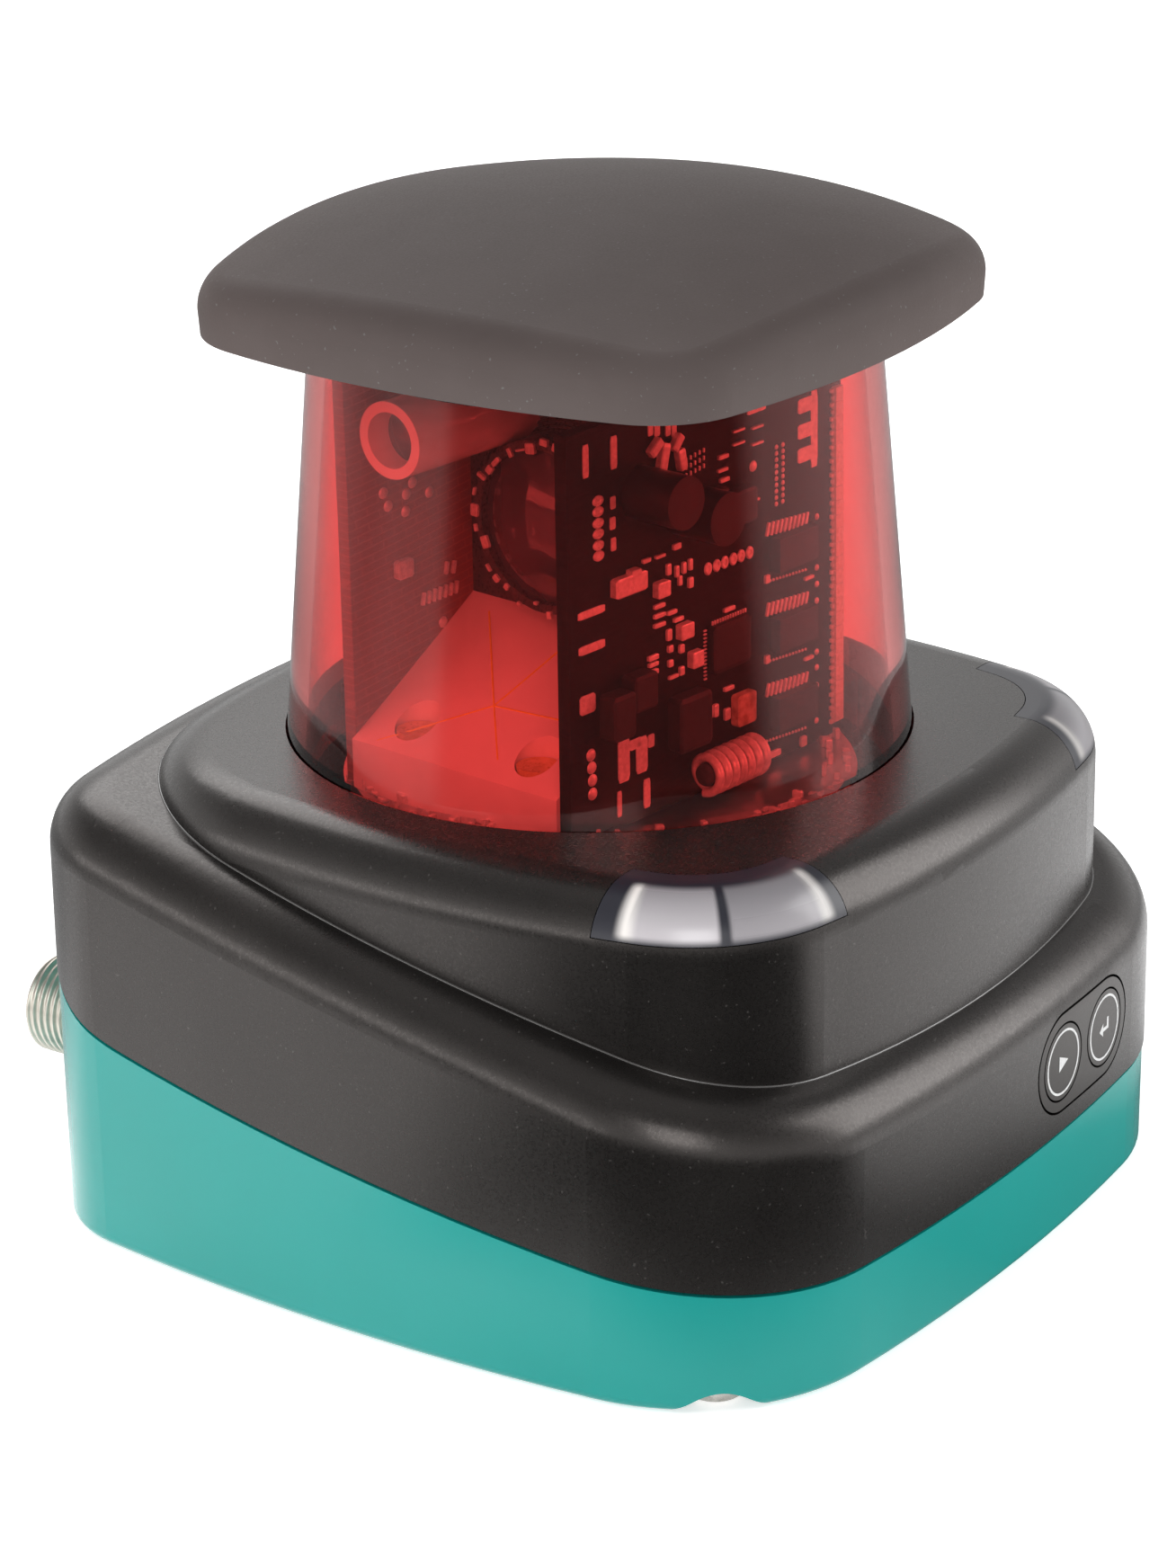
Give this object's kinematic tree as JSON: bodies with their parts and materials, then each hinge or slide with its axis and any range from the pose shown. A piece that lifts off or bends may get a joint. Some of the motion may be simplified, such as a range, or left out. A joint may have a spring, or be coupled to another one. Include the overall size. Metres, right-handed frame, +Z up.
{
  "type": "lidar sensor",
  "caption": "Scanning lidar sensor: square base with sloping parting line, red drum window around a turning scan head, domed cap, corner lamps, keypad and rear round connectors.",
  "frame": {"origin": "middle of the flat underside", "axes": "+Z up along the scan axis, -Y towards the keypad side, +Y towards the connectors"},
  "size_m": [0.106, 0.1139, 0.117],
  "materials": {
    "tray_paint": "gloss paint",
    "housing_plastic": "satin",
    "cap_plastic": "matt, fine grain",
    "drum_plastic": "clear, tinted red",
    "lamp_plastic": "smoky, clear",
    "guide_plastic": "frosted",
    "key_plastic": "satin, pale printing",
    "seal_rubber": "matt",
    "nickel": "nickel plate",
    "steel": "zinc plate",
    "contact_metal": "gold plate",
    "insert_plastic": "matt",
    "board": "solder mask",
    "dark_board": "dark solder mask",
    "chip": "moulded",
    "can": "sleeved cans",
    "lamp_source": "clear resin",
    "aluminium": "turned",
    "core_steel": "laminated",
    "copper": "enamelled wire",
    "magnet": "sintered",
    "bearing_steel": "polished",
    "disc_plastic": "printed film",
    "carrier_metal": "cast",
    "lens_glass": "coated"
  },
  "bodies": {
    "case": {"base_tray": "tray_paint", "upper_housing": "housing_plastic", "parting_gasket": "seal_rubber", "left_lamp_window": "lamp_plastic", "right_lamp_window": "lamp_plastic", "light_guides": "guide_plastic", "lamp_boards": "board", "lamp_sources": "lamp_source", "keypad_panel": "key_plastic", "key_switches": "chip", "key_board": "board", "case_screws": "steel", "power_connector": "nickel", "data_connector": "nickel", "connector_seals": "seal_rubber", "connector_nuts": "nickel", "contact_carriers": "insert_plastic", "contact_pins": "contact_metal", "drum_window": "drum_plastic", "drum_seal": "seal_rubber", "top_cap": "cap_plastic", "cap_seal": "seal_rubber", "control_board": "board", "board_screws": "steel", "processor_chip": "chip", "power_module": "chip", "filter_capacitors": "can", "board_headers": "insert_plastic", "encoder_sensor": "chip", "bearing_tower": "aluminium", "lower_bearing_outer": "bearing_steel", "upper_bearing_outer": "bearing_steel", "stator_core": "core_steel", "stator_coils": "copper", "coupling_primary": "copper"},
    "scan_head": {"rotor_shaft": "steel", "rotor_platform": "aluminium", "magnet_ring": "magnet", "encoder_disc": "disc_plastic", "coupling_secondary": "copper", "optics_carrier": "carrier_metal", "carrier_screws": "steel", "display_board": "dark_board", "receiver_board": "dark_board", "display_lamps": "lamp_source", "driver_chips": "chip", "display_capacitors": "can", "display_coil": "chip", "lens_holder": "insert_plastic", "receiver_lens": "lens_glass", "emitter_tube": "aluminium", "emitter_lens": "lens_glass", "laser_diode": "steel", "lower_bearing_inner": "bearing_steel", "upper_bearing_inner": "bearing_steel"},
    "bearing_balls": {"lower_bearing_balls": "bearing_steel", "upper_bearing_balls": "bearing_steel"},
    "play_button": {"play_key": "key_plastic"},
    "enter_button": {"enter_key": "key_plastic"}
  },
  "joints": [
    {"name": "scan_turn", "type": "hinge", "parent": "case", "child": "scan_head", "pos_m": [0, 0.0024, 0.051], "axis": [0, 0, 1], "continuous": true},
    {"name": "ball_turn", "type": "hinge", "parent": "case", "child": "bearing_balls", "pos_m": [0, 0.0024, 0.026], "axis": [0, 0, 1], "continuous": true},
    {"name": "play_press", "type": "slide", "parent": "case", "child": "play_button", "axis": [0, 1, 0], "range_m": [0, 0.0005], "stiffness_N_per_m": 600},
    {"name": "enter_press", "type": "slide", "parent": "case", "child": "enter_button", "axis": [0, 1, 0], "range_m": [0, 0.0005], "stiffness_N_per_m": 600}
  ],
  "couplings": [
    {"joint": "ball_turn", "follows": "scan_turn", "ratio": 0.3889}
  ]
}
